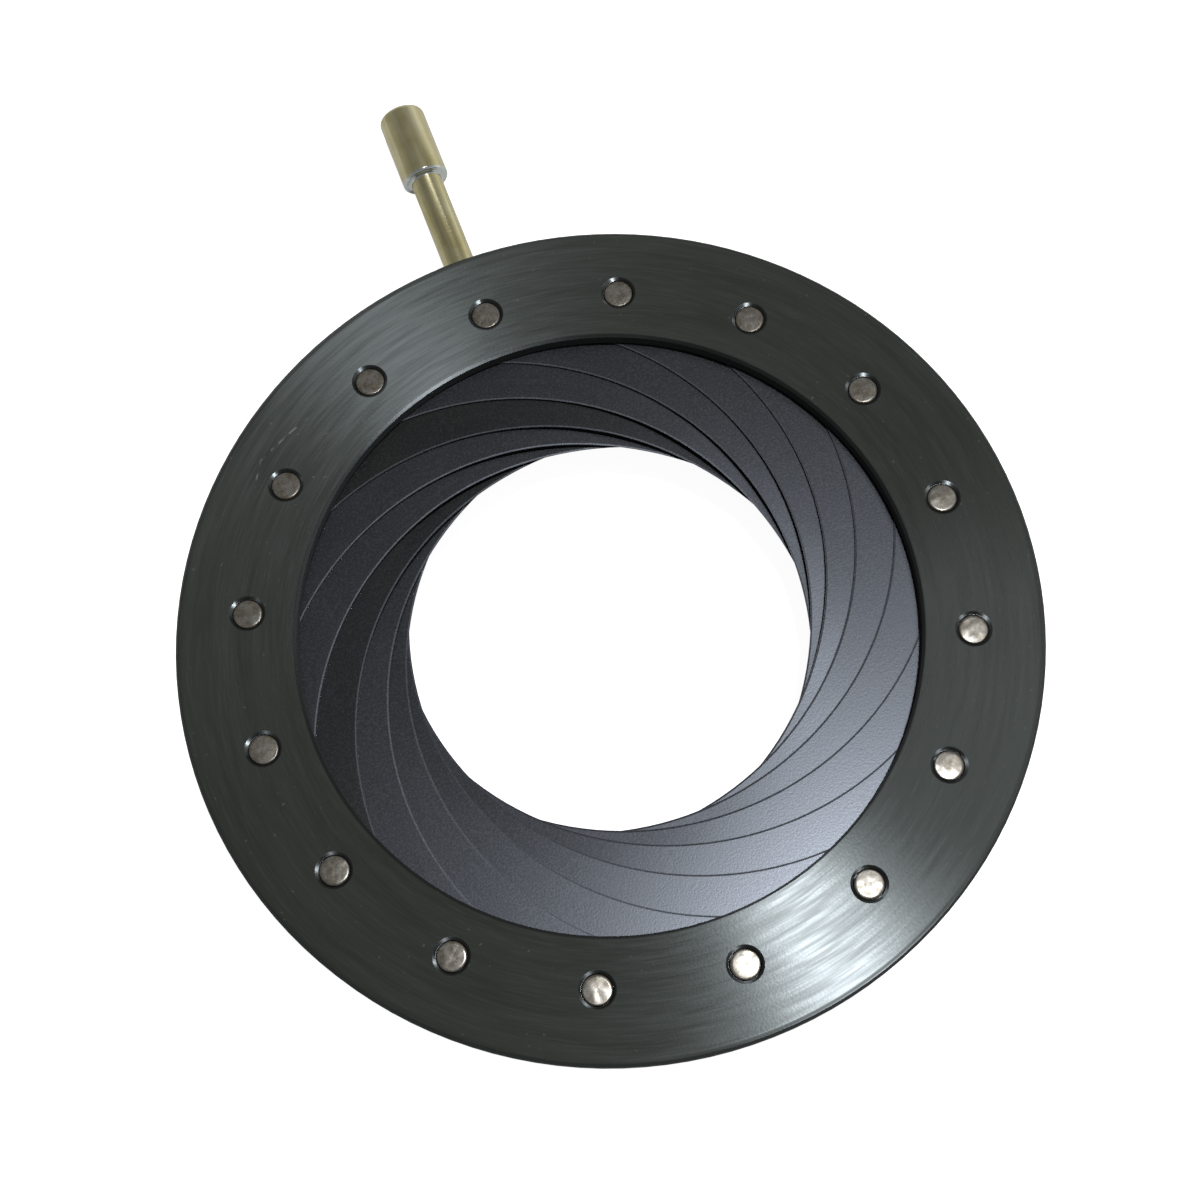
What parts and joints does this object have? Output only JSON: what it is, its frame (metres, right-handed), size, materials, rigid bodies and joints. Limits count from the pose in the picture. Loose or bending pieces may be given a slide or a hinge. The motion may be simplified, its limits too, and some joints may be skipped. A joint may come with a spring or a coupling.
{
  "type": "iris diaphragm",
  "caption": "Round blackened metal iris diaphragm: overlapping curved leaves close a central aperture when a lever turns the slotted ring inside the rim.",
  "frame": {"origin": "centre of the housing's front face, on the optical axis", "axes": "+Z along the optical axis towards the front plate that shows the pivot pins, +Y along the lever in the stored pose"},
  "size_m": [0.05, 0.0637, 0.0062],
  "materials": {
    "housing_black": "black oxide, circumferentially brushed",
    "ring_black": "matt black anodised",
    "spring_steel": "blackened spring steel",
    "leaf_steel": "blued satin spring steel",
    "pin_brass": "darkened, rough riveted ends",
    "lever_brass": "dull turned brass"
  },
  "bodies": {
    "housing": {"housing": "housing_black", "retaining_ring": "spring_steel"},
    "drive": {"drive_ring": "ring_black", "lever": "lever_brass"},
    "leaf_01": {"leaf_01_blade": "leaf_steel", "leaf_01_pivot_pin": "pin_brass", "leaf_01_drive_pin": "pin_brass"},
    "leaf_02": {"leaf_02_blade": "leaf_steel", "leaf_02_pivot_pin": "pin_brass", "leaf_02_drive_pin": "pin_brass"},
    "leaf_03": {"leaf_03_blade": "leaf_steel", "leaf_03_pivot_pin": "pin_brass", "leaf_03_drive_pin": "pin_brass"},
    "leaf_04": {"leaf_04_blade": "leaf_steel", "leaf_04_pivot_pin": "pin_brass", "leaf_04_drive_pin": "pin_brass"},
    "leaf_05": {"leaf_05_blade": "leaf_steel", "leaf_05_pivot_pin": "pin_brass", "leaf_05_drive_pin": "pin_brass"},
    "leaf_06": {"leaf_06_blade": "leaf_steel", "leaf_06_pivot_pin": "pin_brass", "leaf_06_drive_pin": "pin_brass"},
    "leaf_07": {"leaf_07_blade": "leaf_steel", "leaf_07_pivot_pin": "pin_brass", "leaf_07_drive_pin": "pin_brass"},
    "leaf_08": {"leaf_08_blade": "leaf_steel", "leaf_08_pivot_pin": "pin_brass", "leaf_08_drive_pin": "pin_brass"},
    "leaf_09": {"leaf_09_blade": "leaf_steel", "leaf_09_pivot_pin": "pin_brass", "leaf_09_drive_pin": "pin_brass"},
    "leaf_10": {"leaf_10_blade": "leaf_steel", "leaf_10_pivot_pin": "pin_brass", "leaf_10_drive_pin": "pin_brass"},
    "leaf_11": {"leaf_11_blade": "leaf_steel", "leaf_11_pivot_pin": "pin_brass", "leaf_11_drive_pin": "pin_brass"},
    "leaf_12": {"leaf_12_blade": "leaf_steel", "leaf_12_pivot_pin": "pin_brass", "leaf_12_drive_pin": "pin_brass"},
    "leaf_13": {"leaf_13_blade": "leaf_steel", "leaf_13_pivot_pin": "pin_brass", "leaf_13_drive_pin": "pin_brass"},
    "leaf_14": {"leaf_14_blade": "leaf_steel", "leaf_14_pivot_pin": "pin_brass", "leaf_14_drive_pin": "pin_brass"},
    "leaf_15": {"leaf_15_blade": "leaf_steel", "leaf_15_pivot_pin": "pin_brass", "leaf_15_drive_pin": "pin_brass"},
    "leaf_16": {"leaf_16_blade": "leaf_steel", "leaf_16_pivot_pin": "pin_brass", "leaf_16_drive_pin": "pin_brass"}
  },
  "joints": [
    {"name": "ring_turn", "type": "hinge", "parent": "housing", "child": "drive", "pos_m": [0, 0, -0.00411], "axis": [0, 0, 1], "range_deg": [-57, 34.5]},
    {"name": "leaf_01_swing", "type": "hinge", "parent": "housing", "child": "leaf_01", "pos_m": [0, 0.0209, 0], "axis": [0, 0, 1], "range_deg": [-29.15, 17.64]},
    {"name": "leaf_02_swing", "type": "hinge", "parent": "housing", "child": "leaf_02", "pos_m": [-0.008, 0.01931, 0], "axis": [0, 0, 1], "range_deg": [-29.15, 17.64]},
    {"name": "leaf_03_swing", "type": "hinge", "parent": "housing", "child": "leaf_03", "pos_m": [-0.01478, 0.01478, 0], "axis": [0, 0, 1], "range_deg": [-29.15, 17.64]},
    {"name": "leaf_04_swing", "type": "hinge", "parent": "housing", "child": "leaf_04", "pos_m": [-0.01931, 0.008, 0], "axis": [0, 0, 1], "range_deg": [-29.15, 17.64]},
    {"name": "leaf_05_swing", "type": "hinge", "parent": "housing", "child": "leaf_05", "pos_m": [-0.0209, 0, 0], "axis": [0, 0, 1], "range_deg": [-29.15, 17.64]},
    {"name": "leaf_06_swing", "type": "hinge", "parent": "housing", "child": "leaf_06", "pos_m": [-0.01931, -0.008, 0], "axis": [0, 0, 1], "range_deg": [-29.15, 17.64]},
    {"name": "leaf_07_swing", "type": "hinge", "parent": "housing", "child": "leaf_07", "pos_m": [-0.01478, -0.01478, 0], "axis": [0, 0, 1], "range_deg": [-29.15, 17.64]},
    {"name": "leaf_08_swing", "type": "hinge", "parent": "housing", "child": "leaf_08", "pos_m": [-0.008, -0.01931, 0], "axis": [0, 0, 1], "range_deg": [-29.15, 17.64]},
    {"name": "leaf_09_swing", "type": "hinge", "parent": "housing", "child": "leaf_09", "pos_m": [0, -0.0209, 0], "axis": [0, 0, 1], "range_deg": [-29.15, 17.64]},
    {"name": "leaf_10_swing", "type": "hinge", "parent": "housing", "child": "leaf_10", "pos_m": [0.008, -0.01931, 0], "axis": [0, 0, 1], "range_deg": [-29.15, 17.64]},
    {"name": "leaf_11_swing", "type": "hinge", "parent": "housing", "child": "leaf_11", "pos_m": [0.01478, -0.01478, 0], "axis": [0, 0, 1], "range_deg": [-29.15, 17.64]},
    {"name": "leaf_12_swing", "type": "hinge", "parent": "housing", "child": "leaf_12", "pos_m": [0.01931, -0.008, 0], "axis": [0, 0, 1], "range_deg": [-29.15, 17.64]},
    {"name": "leaf_13_swing", "type": "hinge", "parent": "housing", "child": "leaf_13", "pos_m": [0.0209, 0, 0], "axis": [0, 0, 1], "range_deg": [-29.15, 17.64]},
    {"name": "leaf_14_swing", "type": "hinge", "parent": "housing", "child": "leaf_14", "pos_m": [0.01931, 0.008, 0], "axis": [0, 0, 1], "range_deg": [-29.15, 17.64]},
    {"name": "leaf_15_swing", "type": "hinge", "parent": "housing", "child": "leaf_15", "pos_m": [0.01478, 0.01478, 0], "axis": [0, 0, 1], "range_deg": [-29.15, 17.64]},
    {"name": "leaf_16_swing", "type": "hinge", "parent": "housing", "child": "leaf_16", "pos_m": [0.008, 0.01931, 0], "axis": [0, 0, 1], "range_deg": [-29.15, 17.64]}
  ],
  "couplings": [
    {"joint": "leaf_01_swing", "follows": "ring_turn", "ratio": 0.51125},
    {"joint": "leaf_02_swing", "follows": "ring_turn", "ratio": 0.51125},
    {"joint": "leaf_03_swing", "follows": "ring_turn", "ratio": 0.51125},
    {"joint": "leaf_04_swing", "follows": "ring_turn", "ratio": 0.51125},
    {"joint": "leaf_05_swing", "follows": "ring_turn", "ratio": 0.51125},
    {"joint": "leaf_06_swing", "follows": "ring_turn", "ratio": 0.51125},
    {"joint": "leaf_07_swing", "follows": "ring_turn", "ratio": 0.51125},
    {"joint": "leaf_08_swing", "follows": "ring_turn", "ratio": 0.51125},
    {"joint": "leaf_09_swing", "follows": "ring_turn", "ratio": 0.51125},
    {"joint": "leaf_10_swing", "follows": "ring_turn", "ratio": 0.51125},
    {"joint": "leaf_11_swing", "follows": "ring_turn", "ratio": 0.51125},
    {"joint": "leaf_12_swing", "follows": "ring_turn", "ratio": 0.51125},
    {"joint": "leaf_13_swing", "follows": "ring_turn", "ratio": 0.51125},
    {"joint": "leaf_14_swing", "follows": "ring_turn", "ratio": 0.51125},
    {"joint": "leaf_15_swing", "follows": "ring_turn", "ratio": 0.51125},
    {"joint": "leaf_16_swing", "follows": "ring_turn", "ratio": 0.51125}
  ]
}
